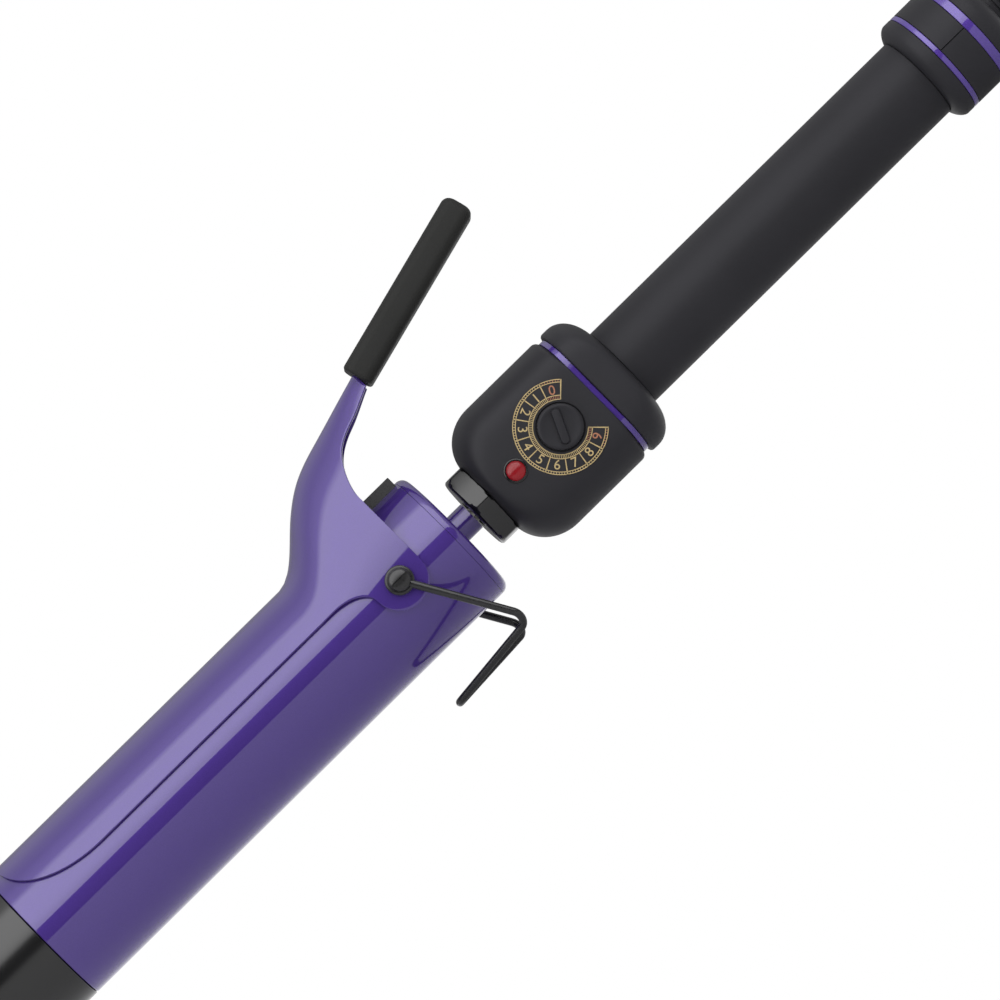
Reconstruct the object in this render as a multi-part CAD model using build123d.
"""A 1.5 inch spring-clip curling iron, one solid per physical piece, in millimetres.

Every piece is drawn in the iron's own frame: X runs along the iron from the barrel to the handle and is
0 just before the housing's front face, Z points to the lever side, and the dial faces -Y.  At the end the whole
iron is laid down as it rests on a table, on its wire stand and the edge of its end cap.
"""
from build123d import *
import os
from math import cos, radians, sin, sqrt, tan

# Driving dimensions ------------------------------------------------------------------------------------
BARREL_R = 38.1 / 2
BARREL_WALL = 0.9
BARREL_FRONT = -153.5
BARREL_REAR = -11.1
DISC_SEAT = -13.5
TIP_END = -175.5
GRIP_R = 11.6
GRIP_CORE_R = 9.6
GRIP_BORE = 8.0
GRIP_FRONT = 46.6
GRIP_REAR = 150.3
HOUSING_FRONT = 0.6
HOUSING_END = 36.0
HOUSING_R = 19.75
HOUSING_FLAT = 15.0
HOUSING_WALL = 2.2
RING_END = 37.6
CAP_R = 15.1
CAP_SEAT_R = 13.2
CAP_BORE = 11.5
CAP_END = 167.5
NOSE_END = 182.0
STEM_R = 4.0
STEM_BORE = 3.1
PIVOT = (-30.35, 0.0)
SHOULDER_R = 1.65
RUNNING_GAP = 0.05
CLIP_GAP = 0.3
CLIP_SHEET = 0.7
EAR_R = 7.4
WIRE_R = 1.0
ARM_Y = 21.35
REST_TILT = 4.6
DIAL = (24.5, -0.5)
DIAL_R = 5.8
LAMP = (9.1, -0.5)
LAMP_R = 2.5
PRESS_START = (-1.8, 44.3)
PRESS_TILT = 15.0
PRESS_LENGTH = 50.3
PRESS_THICK = 8.2
PRESS_WIDE = 12.5

# Dimensions worked out from those ------------------------------------------------------------------------
BARREL_BORE = BARREL_R - BARREL_WALL
CLIP_INNER = BARREL_R + CLIP_GAP
CLIP_OUTER = CLIP_INNER + CLIP_SHEET
EYE_R = SHOULDER_R + RUNNING_GAP


# Helpers ---------------------------------------------------------------------------------------------------
def ring(start, end, outer, inner=0.0):
    """A round bar or tube along X."""
    section = Circle(outer) - Circle(inner) if inner else Circle(outer)
    return extrude(Plane.YZ.offset(start) * section, end - start)


def turned(*outline):
    """A solid turned about X from a closed outline of (x, radius) points."""
    face = make_face(Polyline(*outline, close=True))
    return revolve(Plane.XZ * face, Axis.X, 360)


def turned_edges(*edges):
    """A solid turned about X from a closed outline of edges."""
    return revolve(Plane.XZ * make_face(list(edges)), Axis.X, 360)


def oval(centre, x_radius, y_radius, start, turn=90):
    """An arc of an ellipse, from the start angle on by the turn."""
    return EllipticalCenterArc(centre, x_radius, y_radius, start, arc_size=turn)


def block(x, y, z):
    """A box from its (low, high) pair along each axis."""
    size = [high - low for low, high in (x, y, z)]
    middle = [(low + high) / 2 for low, high in (x, y, z)]
    return Pos(*middle) * Box(*size)


def pin(place, start, end, radius):
    """A round bar along Y through place = (x, z)."""
    middle = Pos(place[0], (start + end) / 2, place[1])
    return middle * Rot(90, 0, 0) * Cylinder(radius, abs(end - start))


def post(place, start, end, radius):
    """A round bar along Z through place = (x, y)."""
    return Pos(place[0], place[1], (start + end) / 2) * Cylinder(radius, end - start)


def flattened(start, end, radius, flat):
    """A round bar along X with two flats at y = -flat and y = +flat."""
    return ring(start, end, radius) & block((start, end), (-flat, flat), (-radius, radius))


def wire(points, radii, thickness):
    """A round wire of the given radius along straight runs joined by arcs."""
    path = FilletPolyline(*points, radius=radii)
    return sweep(Plane(origin=path @ 0, z_dir=path % 0) * Circle(thickness), path)


def mirrored(solid):
    """A solid and its mirror image across the XZ plane, as one group."""
    return Compound([solid, mirror(solid, Plane.XZ)])


# Barrel ------------------------------------------------------------------------------------------------------
RIVET_X = (-38.0, -20.5)
TIP_SEAT = 6.0


def barrel_tube():
    tube = ring(BARREL_FRONT, DISC_SEAT, BARREL_R, BARREL_BORE)
    tube -= pin(PIVOT, -BARREL_R - 1, BARREL_R + 1, SHOULDER_R)
    for x in RIVET_X:
        tube -= post((x, 0), 10, BARREL_R + 1, 1.2)
    return tube


def barrel_rear_disc():
    edge = oval((DISC_SEAT, BARREL_R - 2.0), BARREL_REAR - DISC_SEAT, 2.0, 0)
    rear = (BARREL_REAR, BARREL_R - 2.0)
    rest = Polyline((DISC_SEAT, BARREL_R), (DISC_SEAT, BARREL_BORE), (DISC_SEAT - 4, BARREL_BORE),
                    (DISC_SEAT - 4, BARREL_BORE - 1), (DISC_SEAT, BARREL_BORE - 1),
                    (DISC_SEAT, STEM_R), (BARREL_REAR, STEM_R), rear)
    return turned_edges(edge, *rest.edges())


def cool_tip():
    seat = BARREL_FRONT + TIP_SEAT
    fit_r = BARREL_BORE - RUNNING_GAP
    round_r = 5.0
    dome = oval((TIP_END + round_r, BARREL_R - round_r), round_r, round_r, 90)
    rest = Polyline((TIP_END + round_r, BARREL_R), (BARREL_FRONT, BARREL_R), (BARREL_FRONT, fit_r),
                    (seat, fit_r), (seat, BARREL_BORE - 1.5), (TIP_END + 7, BARREL_BORE - 1.5),
                    (TIP_END + 3, BARREL_BORE - 5), (TIP_END + 3, 4), (seat - 2, 4), (seat - 2, 1.5),
                    (TIP_END + 2.5, 1.5), (TIP_END + 2.5, 3), (TIP_END, 3), (TIP_END, BARREL_R - round_r))
    return turned_edges(dome, *rest.edges())


def tip_bracket():
    strap = block((-142, -140.5), (-BARREL_R, BARREL_R), (-5, 5))
    strap += ring(-142, -137, 3.5)
    for side in (-1, 1):
        low, high = sorted((side * (BARREL_BORE - 1.2), side * BARREL_R))
        strap += block((-142, -136.5), (low, high), (-5, 5))
    return (strap & ring(-145, -130, BARREL_BORE)) - ring(-145, -130, 1.5)


def tip_screw():
    return ring(TIP_END + 0.6, TIP_END + 2.5, 2.9) + ring(TIP_END + 2.5, -137.5, 1.5)


# Heater stack, from the barrel's wall inwards ----------------------------------------------------------------
STACK_FRONT = -136.0
STACK_REAR = -42.0
MICA = 0.4
FOIL = 0.3
FOIL_STRIPS = 24
STRIP_ANGLE = 6.0


def foil_patch(start, end, angle, sweep_angle):
    """A patch of foil on the cylinder between the two mica sleeves."""
    outer = BARREL_BORE - MICA
    outline = Polyline((start, outer - FOIL), (end, outer - FOIL), (end, outer), (start, outer), close=True)
    return Rot(angle, 0, 0) * revolve(Plane.XZ * make_face(outline), Axis.X, sweep_angle)


def heater_foil():
    """One zigzag strip of foil: lengths along the barrel joined at alternate ends."""
    front, rear, end_width = STACK_FRONT + 3, STACK_REAR - 3, 2.0
    pitch = 350.0 / FOIL_STRIPS
    foil = None
    for count in range(FOIL_STRIPS):
        strip = foil_patch(front, rear, count * pitch, STRIP_ANGLE)
        foil = strip if foil is None else foil + strip
        if count < FOIL_STRIPS - 1:
            at_front = count % 2 == 0
            start = front if at_front else rear - end_width
            foil += foil_patch(start, start + end_width, count * pitch, pitch + STRIP_ANGLE)
    return foil


def mica_liner():
    return ring(STACK_FRONT, STACK_REAR, BARREL_BORE, BARREL_BORE - MICA)


def heater_backing():
    outer = BARREL_BORE - MICA - FOIL
    return ring(STACK_FRONT, STACK_REAR, outer, outer - MICA)


def spring_liner():
    """Split spring-steel sleeve that presses the stack against the barrel."""
    outer = BARREL_BORE - 2 * MICA - FOIL
    return ring(STACK_FRONT, STACK_REAR, outer, outer - 0.5) - block((-150, -30), (-2, 2), (-20, 0))


LEAD_R = 0.75
LEAD_Y = 1.2
LEAD_Z = 1.3
LEAD_REACH = 15.2


def heater_leads():
    """Two insulated leads, from the terminals through the neck and out to the heater's end."""
    leads = []
    for side in (-1, 1):
        points = [(10, LEAD_Y, side * LEAD_Z), (-24, LEAD_Y, side * LEAD_Z),
                  (-36, LEAD_Y, side * LEAD_REACH), (-48, LEAD_Y, side * LEAD_REACH)]
        leads.append(wire(points, 5.0, LEAD_R))
    return Compound(leads)


def crimp_ferrules():
    ends = [Pos(0, LEAD_Y, side * LEAD_REACH) * ring(-54, -48, 1.1) for side in (-1, 1)]
    return Compound(ends)


def thermal_fuse():
    place = Pos(0, LEAD_Y, -LEAD_Z)
    return place * ring(-21.2, -14.8, 1.5, LEAD_R)


def sensor_lead():
    points = [(8.6, -1.6, 0), (-24, -1.6, 0), (-38.5, -14.5, 0), (-50, -14.5, 0)]
    return wire(points, 5.0, 0.6)


def sensor_bead():
    return Pos(0, -14.5, 0) * ring(-58, -50, 1.3)


# Neck -------------------------------------------------------------------------------------------------------
COLLAR_FRONT = -5.0
COLLAR_FLATS = 20.8
COLLAR_TURN_R = 11.6
STEM_END = 7.0


def stem_tube():
    flange = ring(DISC_SEAT - 1, DISC_SEAT, 7.0, STEM_BORE)
    return flange + ring(DISC_SEAT, STEM_END, STEM_R, STEM_BORE)


def collar_nut():
    """Hexagonal collar, a corner towards the dial side, its edges turned back at both ends."""
    section = RegularPolygon(COLLAR_FLATS / 2, 6, major_radius=False)
    flats = extrude(Plane.YZ.offset(COLLAR_FRONT) * section, HOUSING_FRONT - COLLAR_FRONT)
    turn = turned((COLLAR_FRONT, 0), (COLLAR_FRONT, COLLAR_TURN_R - 1.8), (COLLAR_FRONT + 1.2, COLLAR_TURN_R),
                  (HOUSING_FRONT - 0.7, COLLAR_TURN_R), (HOUSING_FRONT, COLLAR_TURN_R - 0.8),
                  (HOUSING_FRONT, 0))
    return (flats & turn) - ring(COLLAR_FRONT, HOUSING_FRONT, STEM_R)


def stem_locknut():
    nut = extrude(Plane.YZ.offset(HOUSING_FRONT + HOUSING_WALL) * RegularPolygon(6.0, 6, major_radius=False), 3)
    return nut - ring(0, 8, STEM_R)


# Clip and lever ----------------------------------------------------------------------------------------------
CROWN = ((-53.0, CLIP_OUTER, 0.0), (-44.0, 25.2, 0.96), (-38.0, 31.0, 0.88), (-30.0, 36.6, 0.5),
         (-19.3, 40.4, 0.3), (0.0, 46.2, 0.28))
SECTIONS = (-53, -50.5, -48, -45, -42, -38.5, -35, -31, -26, -20, -13, -6.5, 0)
NARROW_FROM = PIVOT[0] + EAR_R
NOTCH_LONG = 9.5
LEVER_HALF_WIDTH = 11.5
CLIP_EDGE = 5.8
CLIP_TIP = -150.5


def crown_height(x):
    """Height and slope of the lever's outer surface over the axis: cubics between the CROWN knots."""
    for (x0, z0, m0), (x1, z1, m1) in zip(CROWN, CROWN[1:]):
        if x <= x1:
            break
    span = x1 - x0
    t = (x - x0) / span
    height = ((1 + 2 * t) * (1 - t) ** 2 * z0 + t * (1 - t) ** 2 * span * m0
              + t * t * (3 - 2 * t) * z1 + t * t * (t - 1) * span * m1)
    slope = (6 * t * (1 - t) * (z1 - z0) / span + (1 - t) * (1 - 3 * t) * m0 + t * (3 * t - 2) * m1)
    return height, slope


def half_width(x):
    """Half the width of the clip's arch at its foot: full over the barrel, narrow at the thumb press."""
    t = min(max((x - NARROW_FROM) / -NARROW_FROM, 0.0), 1.0)
    return CLIP_OUTER + (LEVER_HALF_WIDTH - CLIP_OUTER) * t * t * (3 - 2 * t)


def arch(x, inset, leg):
    """The clip's section across the iron: two legs and an elliptical crown."""
    height, slope = crown_height(x)
    wide = half_width(x) - inset
    high = height - inset * sqrt(1 + slope * slope)
    feet = Polyline((-wide, 0), (-wide, -leg), (wide, -leg), (wide, 0))
    crown = oval((0, 0), wide, high, 0, 180)
    plane = Plane(origin=(x, 0, 0), x_dir=(0, 1, 0), z_dir=(1, 0, 0))
    return plane * make_face([crown, *feet.edges()])


def clip_outline():
    """Side view of the clip: spoon tip, straight edge, hinge ear, rear edge and the lever's lower edge."""
    ear_front = (PIVOT[0] - EAR_R, PIVOT[1])
    ear_rear = (PIVOT[0] + EAR_R, PIVOT[1])
    notch_start = (ear_front[0] - NOTCH_LONG, CLIP_EDGE)
    spoon = Spline((CLIP_TIP, CLIP_OUTER + 0.5), (-145.8, 13.9), (-140.8, 9.8), (-135.4, 7.1),
                   (-126, CLIP_EDGE), tangents=((0, -1), (1, 0)))
    edge = Line((-126, CLIP_EDGE), notch_start)
    notch = oval((notch_start[0], 0), NOTCH_LONG, CLIP_EDGE, 0)
    ear = ThreePointArc(ear_front, (PIVOT[0], -EAR_R), ear_rear)
    rear = Line(ear_rear, (ear_rear[0], 22))
    lever = Spline((ear_rear[0], 22), (-18.6, 32.4), (-11.0, 37.0), (0, 42.0),
                   tangents=((0, 1), (cos(radians(22)), sin(radians(22)))))
    above = Polyline((0, 42.0), (0, 60), (CLIP_TIP, 60), (CLIP_TIP, CLIP_OUTER + 0.5))
    return make_face([spoon, edge, notch, ear, rear, lever, *above.edges()])


def on_press(solid):
    """Place a solid drawn along X at the thumb press, which slopes away from the grip."""
    return Pos(PRESS_START[0], 0, PRESS_START[1]) * Rot(0, -PRESS_TILT, 0) * solid


def lever_tongue():
    return block((-1.5, 42), (-3, 3), (-1.5, 0.3))


def clip():
    outer = loft([arch(x, 0, 9) for x in SECTIONS])
    inner = loft([arch(x, CLIP_SHEET, 11) for x in SECTIONS])
    front = ring(CLIP_TIP, SECTIONS[0], CLIP_OUTER, CLIP_INNER)
    profile = extrude(Plane.XZ * clip_outline(), 30, both=True)
    shell = ((outer - inner) & profile) - on_press(block((0, 12), (-30, 30), (-30, 30)))
    shell += front & profile
    shell += on_press(lever_tongue())
    return shell - pin(PIVOT, -BARREL_R - 3, BARREL_R + 3, EYE_R)


def thumb_press():
    half = PRESS_THICK / 2
    sleeve = block((0, PRESS_LENGTH), (-PRESS_WIDE / 2, PRESS_WIDE / 2), (-half, half))
    sleeve = fillet(sleeve.edges().filter_by(Axis.X), 2.6)
    sleeve = fillet(sleeve.faces().sort_by(Axis.X)[-1].edges(), 2.0)
    return on_press(sleeve - lever_tongue())


# Spring and its saddle -----------------------------------------------------------------------------------------
SADDLE = (-41.0, -14.0)
SADDLE_HALF = 6.0
SADDLE_TOP = 21.0
COIL = (-29.2, 24.6)
COIL_R = 2.2
SPRING_WIRE = 0.5


def spring_saddle():
    """Channel riveted to the barrel's top, with two lugs that hold the spring's pin."""
    channel = block(SADDLE, (-SADDLE_HALF, SADDLE_HALF), (15, SADDLE_TOP))
    channel -= block((SADDLE[0], SADDLE[1] - 1), (1 - SADDLE_HALF, SADDLE_HALF - 1), (20.3, 30))
    for side in (-1, 1):
        low, high = sorted((side * (SADDLE_HALF - 1), side * SADDLE_HALF))
        channel += block((COIL[0] - 2.8, COIL[0] + 2.8), (low, high), (SADDLE_TOP - 1.2, COIL[1]))
        channel += pin(COIL, low, high, 2.8)
    channel -= ring(SADDLE[0] - 1, SADDLE[1] + 1, BARREL_R)
    channel -= pin(COIL, -SADDLE_HALF, SADDLE_HALF, 1.2)
    for x in RIVET_X:
        channel -= post((x, 0), 15, 30, 1.2)
    return channel


def saddle_rivets():
    rivets = []
    for x in RIVET_X:
        shank = post((x, 0), 16.9, 20.3, 1.2)
        inside = post((x, 0), 16.9, BARREL_BORE, 2.0) & ring(x - 3, x + 3, BARREL_BORE)
        rivets.append(shank + post((x, 0), 20.3, 21.2, 2.0) + inside)
    return Compound(rivets)


def spring_pin():
    bar = pin(COIL, -SADDLE_HALF, SADDLE_HALF, 1.2)
    for side in (-1, 1):
        bar += pin(COIL, side * SADDLE_HALF, side * (SADDLE_HALF + 0.8), 1.9)
    return bar


SPRING_TURNS = 5
SPRING_PITCH = 0.9
SPRING_LEG_R = SPRING_WIRE - 0.03
FIXED_LEG = 9.0
WORKING_LEG = 18.0
LEG_START = 0.5
LEG_LEAN = 32.0


def spring_leg(start, length, turn):
    """A straight leg, a hair thinner than the coils, so that the two join along a clean edge."""
    return Pos(*start) * Rot(0, turn, 0) * Cylinder(
        SPRING_LEG_R, length, align=(Align.CENTER, Align.CENTER, Align.MIN))


def clip_spring():
    """Torsion spring: close coils, one leg along the saddle and one up to the lever's underside."""
    first = -SPRING_PITCH * (SPRING_TURNS - 1) / 2
    coil = None
    for count in range(SPRING_TURNS):
        place = Pos(COIL[0], first + count * SPRING_PITCH, COIL[1])
        loop = place * Rot(90, 0, 0) * Torus(COIL_R, SPRING_WIRE)
        coil = loop if coil is None else coil + loop
    fixed = spring_leg((COIL[0], first, COIL[1] - COIL_R), FIXED_LEG, -90)
    lean = radians(LEG_LEAN)
    foot = (COIL[0] + COIL_R * cos(lean) - LEG_START * sin(lean), -first,
            COIL[1] - COIL_R * sin(lean) - LEG_START * cos(lean))
    return coil + fixed + spring_leg(foot, LEG_START + WORKING_LEG, LEG_LEAN)


# Hinge and stand --------------------------------------------------------------------------------------------
BOSS_INNER = 12.5
SHOULDER_START = 17.0
SHOULDER_END = 22.5
HEAD_END = 23.9


def hinge_screws():
    screw = pin(PIVOT, SHOULDER_START, SHOULDER_END, SHOULDER_R)
    screw += pin(PIVOT, BOSS_INNER, SHOULDER_START, 1.25)
    head = pin(PIVOT, SHOULDER_END, HEAD_END, 2.8)
    head = fillet(head.edges().sort_by(Axis.Y)[-1], 1.0)
    slot = block((PIVOT[0] - 2.9, PIVOT[0] + 2.9), (HEAD_END - 0.7, HEAD_END + 1), (-0.35, 0.35))
    return mirrored(screw + (head - slot))


def hinge_bosses():
    boss = pin(PIVOT, BOSS_INNER, BARREL_R, 3.5) & ring(PIVOT[0] - 5, PIVOT[0] + 5, BARREL_BORE)
    boss -= pin(PIVOT, BOSS_INNER - 1, BARREL_R, 1.25)
    boss -= pin(PIVOT, SHOULDER_START, BARREL_R, SHOULDER_R)
    return mirrored(boss)


BEND_X = -13.7
TOE_X = -40.0
TOE_HALF = 3.0
RIM_ROUND = 6.0
RIM_X = CAP_END + 0.5


def table_height(x):
    """Height, in the iron's frame, of the table under the point x: it touches the end dome's rim."""
    tilt = radians(REST_TILT)
    touch_x = RIM_X + RIM_ROUND * sin(tilt)
    touch_z = -(CAP_R - RIM_ROUND) - RIM_ROUND * cos(tilt)
    return touch_z - (touch_x - x) * tan(tilt)


def stand_wire():
    """One bent wire: an eye on each hinge screw, two arms, and a foot that lies flat on the table."""
    lift = WIRE_R / cos(radians(REST_TILT))
    bend = (BEND_X, table_height(BEND_X) + lift)
    toe = (TOE_X, table_height(TOE_X) + lift)
    reach = sqrt((bend[0] - PIVOT[0]) ** 2 + (bend[1] - PIVOT[1]) ** 2)
    start = [PIVOT[i] + 2.6 * (bend[i] - PIVOT[i]) / reach for i in (0, 1)]
    half = [(start[0], ARM_Y, start[1]), (bend[0], ARM_Y, bend[1]), (toe[0], TOE_HALF, toe[1])]
    other = [(x, -y, z) for x, y, z in reversed(half)]
    bent = wire(half + other, [3.0, 3.2, 3.2, 3.0], WIRE_R)
    for side in (-1, 1):
        bent += pin(PIVOT, side * ARM_Y - 0.8, side * ARM_Y + 0.8, 3.7)
    return bent - pin(PIVOT, -30, 30, EYE_R)


# Control housing ----------------------------------------------------------------------------------------------
NOSE_LONG = 11.4
NOSE_FLAT_R = 9.3
SCREW_PLACES = ((7.8, 9.4), (7.8, -9.4), (31.0, 10.2), (31.0, -10.2))
SPIGOT_START = 33.6
POST_R = 2.4



def housing_form(wall):
    """The housing's rounded form, or its hollow when a wall is given."""
    radius = HOUSING_R - wall
    front = HOUSING_FRONT + wall
    long, high = NOSE_LONG - wall, HOUSING_R - NOSE_FLAT_R - wall
    nose = oval((front + long, NOSE_FLAT_R), long, high, 90)
    rear = [(HOUSING_END, radius)] if wall else [(HOUSING_END - 2, radius), (HOUSING_END, radius - 2)]
    rest = Polyline((front + long, radius), *rear, (HOUSING_END, 0), (front, 0), (front, NOSE_FLAT_R))
    flat = HOUSING_FLAT - wall
    form = turned_edges(nose, *rest.edges())
    return form & block((0, HOUSING_END), (-flat, flat), (-HOUSING_R, HOUSING_R))


def housing_shell():
    """Both halves of the housing with their screw posts, before they are parted."""
    shell = housing_form(0) - housing_form(HOUSING_WALL)
    flat = HOUSING_FLAT - HOUSING_WALL
    for place in SCREW_PLACES:
        shell += pin(place, -flat, flat, POST_R) + pin(place, flat - 2.0, flat, POST_R + 1.1)
    return shell - ring(-1, HOUSING_FRONT + HOUSING_WALL + 1, STEM_R)


def housing_dial_side():
    shell = housing_shell() & block((-1, 40), (-30, 0), (-30, 30))
    shell -= pin(DIAL, -20, -HOUSING_FLAT + 0.8, DIAL_R + 0.45)
    shell -= pin(DIAL, -20, -10, 3.2)
    shell -= pin(LAMP, -20, -10, LAMP_R + 0.6)
    for place in SCREW_PLACES:
        shell -= pin(place, -9.5, 1, 1.3)
    return shell


def housing_back_side():
    shell = housing_shell() & block((-1, 40), (0, 30), (-30, 30))
    for place in SCREW_PLACES:
        shell -= pin(place, -1, 20, 1.6)
        shell -= pin(place, 12, 20, 2.7)
    return shell


def housing_screws():
    screws = []
    for place in SCREW_PLACES:
        head = pin(place, 12, 14, 2.5) - block((place[0] - 2.6, place[0] + 2.6), (13.2, 15),
                                               (place[1] - 0.4, place[1] + 0.4))
        screws.append(pin(place, -9, 12, 1.3) + head)
    return Compound(screws)


def temperature_dial():
    """Round knob with a finger ridge; the ridge stands at the first mark of the scale at rest."""
    top = -HOUSING_FLAT - 1.6
    knob = pin(DIAL, top, -HOUSING_FLAT + 0.4, DIAL_R)
    knob = fillet(knob.edges().sort_by(Axis.Y)[0], 0.5)
    ridge = block((-1.1, 1.1), (top - 0.9, top + 0.2), (-4.6, 4.6))
    ridge = fillet(ridge.edges().filter_by(Axis.Y), 0.9)
    knob += Pos(DIAL[0], 0, DIAL[1]) * Rot(0, 90 - 65, 0) * ridge
    return knob - pin(DIAL, -HOUSING_FLAT - 0.9, 0, 2.0)


def dial_spindle():
    return pin(DIAL, -HOUSING_FLAT - 0.9, -8.2, 2.0)


def rheostat():
    body = pin(DIAL, -9.4, -4.4, 7.8) + pin(DIAL, -14.0, -9.4, 3.2)
    return body - pin(DIAL, -20, -7.8, 2.0 + RUNNING_GAP)


def lamp_lens():
    base = pin(LAMP, -HOUSING_FLAT - 0.2, -12.8, LAMP_R)
    dome = Pos(LAMP[0], -HOUSING_FLAT - 0.2, LAMP[1]) * scale(Sphere(LAMP_R), by=(1, 0.52, 1))
    outside = block((0, 20), (-20, -HOUSING_FLAT - 0.2), (-10, 10))
    return base + (dome & outside)


def lamp_bezel():
    return pin(LAMP, -HOUSING_FLAT - 0.3, -12.8, LAMP_R + 0.6) - pin(LAMP, -20, -10, LAMP_R)


def neon_lamp():
    return pin(LAMP, -12.8, -2.8, 2.0)


def control_board():
    return block((8.6, 33.0), (-2.8, -1.2), (-6.9, 6.9))


def triac():
    body = block((17, 21.5), (-1.2, 8.5), (-5.2, 5.2))
    return body + block((17, 18.2), (8.5, 12), (-5.2, 5.2))


def capacitor():
    return block((22.5, 26.5), (-1.2, 8), (-6, 6))


def terminal_blocks():
    front = block((10, 15.5), (-1.2, 3.8), (-4, 4))
    rear = block((27.5, 32.5), (-1.2, 3.8), (-7.6, 7.6))
    return Compound([front, rear])


def trim_ring():
    plate = flattened(HOUSING_END, RING_END, HOUSING_R - 1.1, HOUSING_FLAT - 1.1)
    hollow = flattened(HOUSING_END, RING_END, HOUSING_R - HOUSING_WALL, HOUSING_FLAT - HOUSING_WALL)
    return plate - hollow


# Handle -------------------------------------------------------------------------------------------------------
SHOULDER_R_OUT = 19.9
SHOULDER_FLAT = 15.5
CORE_END = 157.0


def shoulder_flange():
    start = RING_END + 2.4
    round_edge = oval((start, GRIP_R), GRIP_FRONT - start, SHOULDER_R_OUT - GRIP_R, 0)
    rest = Polyline((start, SHOULDER_R_OUT), (RING_END + 0.7, SHOULDER_R_OUT),
                    (RING_END, SHOULDER_R_OUT - 0.7), (RING_END, GRIP_CORE_R),
                    (GRIP_FRONT, GRIP_CORE_R), (GRIP_FRONT, GRIP_R))
    flange = turned_edges(round_edge, *rest.edges())
    flange &= block((RING_END, GRIP_FRONT), (-SHOULDER_FLAT, SHOULDER_FLAT), (-25, 25))
    spigot = flattened(SPIGOT_START, RING_END, HOUSING_R - HOUSING_WALL, HOUSING_FLAT - HOUSING_WALL)
    spigot -= ring(SPIGOT_START, RING_END, GRIP_CORE_R)
    for place in SCREW_PLACES[2:]:
        spigot -= pin(place, -20, 20, POST_R + 1.3)
    return flange + spigot


def grip_core():
    return ring(SPIGOT_START, CORE_END, GRIP_CORE_R, GRIP_BORE)


def grip_sleeve():
    return ring(GRIP_FRONT, GRIP_REAR, GRIP_R, GRIP_CORE_R)


END_RINGS = ((155.3, 156.8), (165.0, 167.5))


FLARE_END = 153.2


def end_flare():
    seat = END_RINGS[0][0]
    flare = Spline((GRIP_REAR, GRIP_R), (FLARE_END, CAP_R), tangents=((0.2, 1), (1, 0)))
    rest = Polyline((FLARE_END, CAP_R), (seat, CAP_R), (seat, CAP_SEAT_R), (CAP_END, CAP_SEAT_R),
                    (CAP_END, CAP_BORE), (CORE_END, CAP_BORE), (CORE_END, GRIP_CORE_R),
                    (GRIP_REAR, GRIP_CORE_R), (GRIP_REAR, GRIP_R))
    return turned_edges(flare, *rest.edges())


def end_band_half(side):
    band = ring(END_RINGS[0][1], END_RINGS[1][0], CAP_R, CAP_SEAT_R)
    low, high = sorted((0, side * 20))
    return band & block((150, 170), (-20, 20), (low, high))


def end_dome():
    inner = CAP_R - RIM_ROUND
    dome = oval((RIM_X, inner), RIM_ROUND, RIM_ROUND, 0)
    rest = Polyline((RIM_X, CAP_R), (CAP_END, CAP_R), (CAP_END, CAP_BORE), (171, CAP_BORE),
                    (171, 6.0 + RUNNING_GAP), (RIM_X + RIM_ROUND, 6.0 + RUNNING_GAP),
                    (RIM_X + RIM_ROUND, inner))
    return turned_edges(dome, *rest.edges())


CORD_HOLE_R = 3.6
CORD_HOLE_START = 169.0


def cord_swivel():
    """Turning cord inlet: a flange inside the dome, a neck through it, and the spindle for the slip rings."""
    nose = oval((NOSE_END - 4.5, 4.6), 4.5, 1.4, 0)
    rest = Polyline((NOSE_END - 4.5, 6.0), (170.7, 6.0), (170.7, 9.0), (168.3, 9.0), (168.3, 5.0),
                    (158.0, 5.0), (158.0, 2.6), (CORD_HOLE_START, 2.6), (CORD_HOLE_START, CORD_HOLE_R),
                    (NOSE_END, CORD_HOLE_R), (NOSE_END, 4.6))
    return turned_edges(nose, *rest.edges())


SLIP_RINGS = ((159.4, 161.6), (163.9, 166.1))
SLIP_RING_R = 6.2


def slip_rings():
    return Compound([ring(start, end, SLIP_RING_R, 5.0) for start, end in SLIP_RINGS])


def contact_brushes():
    """A strip on each slip ring, above for the first ring and below for the second."""
    brushes = []
    for side, (start, end) in zip((1, -1), SLIP_RINGS):
        low, high = sorted((side * 6.3, side * 8.6))
        brushes.append(block((158.5, end - 0.2), (-1.5, 2.2), (low, high)) - ring(157, 170, 6.28))
    return Compound(brushes)


def brush_holder():
    holder = ring(158.5, 167.3, CAP_BORE, 8.0)
    return holder - block((150, 170), (-1.5, 2.2), (-8.6, 8.6))


def mains_leads():
    leads = [Pos(0, LEAD_Y, side * 6.8) * ring(32.5, 158.5, LEAD_R) for side in (-1, 1)]
    return Compound(leads)


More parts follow.
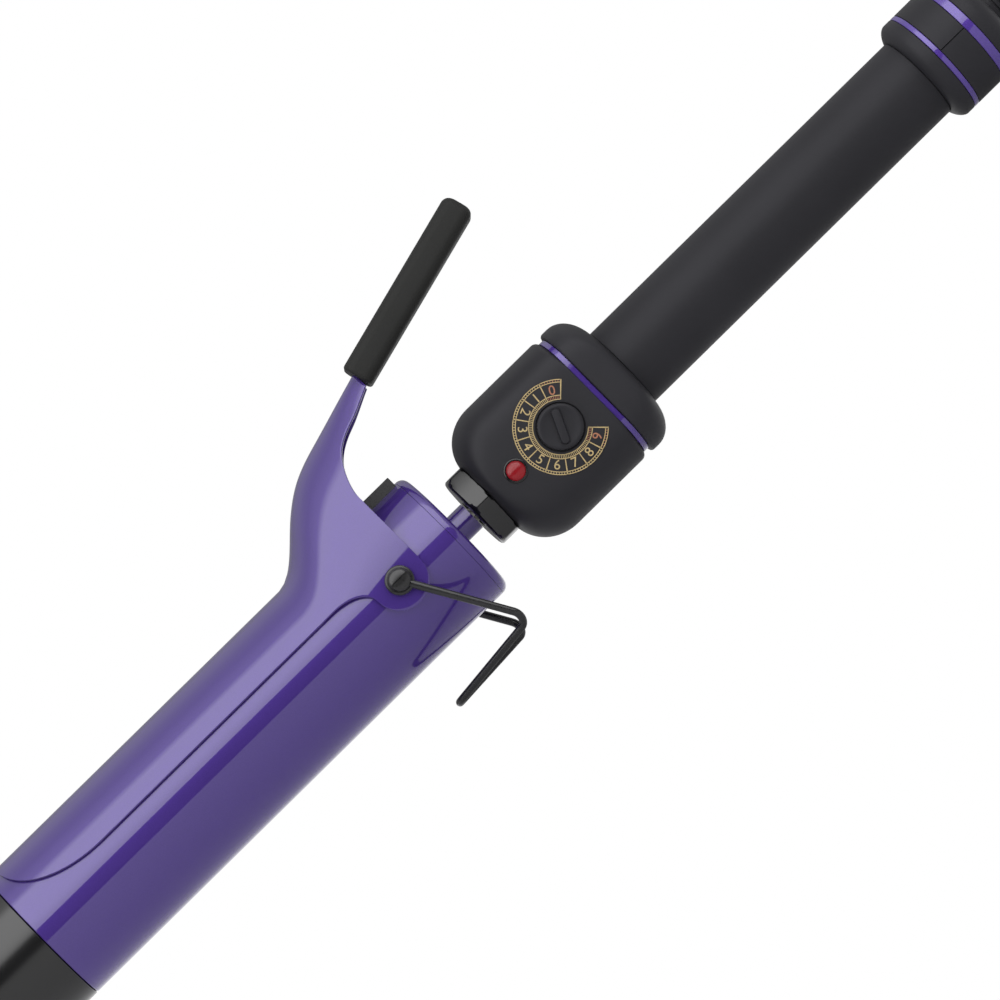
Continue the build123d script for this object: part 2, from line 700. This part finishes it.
# The whole iron, by node name -----------------------------------------------------------------------------------
def pieces():
    front, rear = END_RINGS
    return {
        "barrel_tube": barrel_tube(),
        "barrel_rear_disc": barrel_rear_disc(),
        "cool_tip": cool_tip(),
        "tip_bracket": tip_bracket(),
        "tip_screw": tip_screw(),
        "mica_liner": mica_liner(),
        "heater_foil": heater_foil(),
        "heater_backing": heater_backing(),
        "spring_liner": spring_liner(),
        "heater_leads": heater_leads(),
        "crimp_ferrules": crimp_ferrules(),
        "thermal_fuse": thermal_fuse(),
        "sensor_lead": sensor_lead(),
        "sensor_bead": sensor_bead(),
        "stem_tube": stem_tube(),
        "collar_nut": collar_nut(),
        "stem_locknut": stem_locknut(),
        "clip": clip(),
        "thumb_press": thumb_press(),
        "spring_saddle": spring_saddle(),
        "saddle_rivets": saddle_rivets(),
        "spring_pin": spring_pin(),
        "clip_spring": clip_spring(),
        "hinge_screws": hinge_screws(),
        "hinge_bosses": hinge_bosses(),
        "stand_wire": stand_wire(),
        "housing_dial_side": housing_dial_side(),
        "housing_back_side": housing_back_side(),
        "housing_screws": housing_screws(),
        "temperature_dial": temperature_dial(),
        "dial_spindle": dial_spindle(),
        "rheostat": rheostat(),
        "lamp_lens": lamp_lens(),
        "lamp_bezel": lamp_bezel(),
        "neon_lamp": neon_lamp(),
        "control_board": control_board(),
        "triac": triac(),
        "capacitor": capacitor(),
        "terminal_blocks": terminal_blocks(),
        "trim_ring": trim_ring(),
        "shoulder_flange": shoulder_flange(),
        "grip_core": grip_core(),
        "grip_sleeve": grip_sleeve(),
        "end_flare": end_flare(),
        "end_ring_front": ring(*front, CAP_R, CAP_SEAT_R),
        "end_band_upper": end_band_half(1),
        "end_band_lower": end_band_half(-1),
        "end_ring_rear": ring(*rear, CAP_R, CAP_SEAT_R),
        "end_dome": end_dome(),
        "cord_swivel": cord_swivel(),
        "slip_rings": slip_rings(),
        "contact_brushes": contact_brushes(),
        "brush_holder": brush_holder(),
        "mains_leads": mains_leads(),
    }


def resting_place(shapes):
    """The move that lays the iron on the table, its box centred on the origin with its base at z = 0."""
    tilted = [Rot(0, REST_TILT, 0) * shape for shape in shapes]
    boxes = [shape.bounding_box() for shape in tilted]
    low_x = min(box.min.X for box in boxes)
    high_x = max(box.max.X for box in boxes)
    base = table_height(0) * cos(radians(REST_TILT))
    return Pos(-(low_x + high_x) / 2, 0, -base) * Rot(0, REST_TILT, 0)


os.makedirs("parts", exist_ok=True)
solids = pieces()
placed = resting_place(solids.values())
for name, solid in solids.items():
    export_step(placed * solid, f"parts/{name}.step")
print("resting place", placed.position, "tilt", REST_TILT)
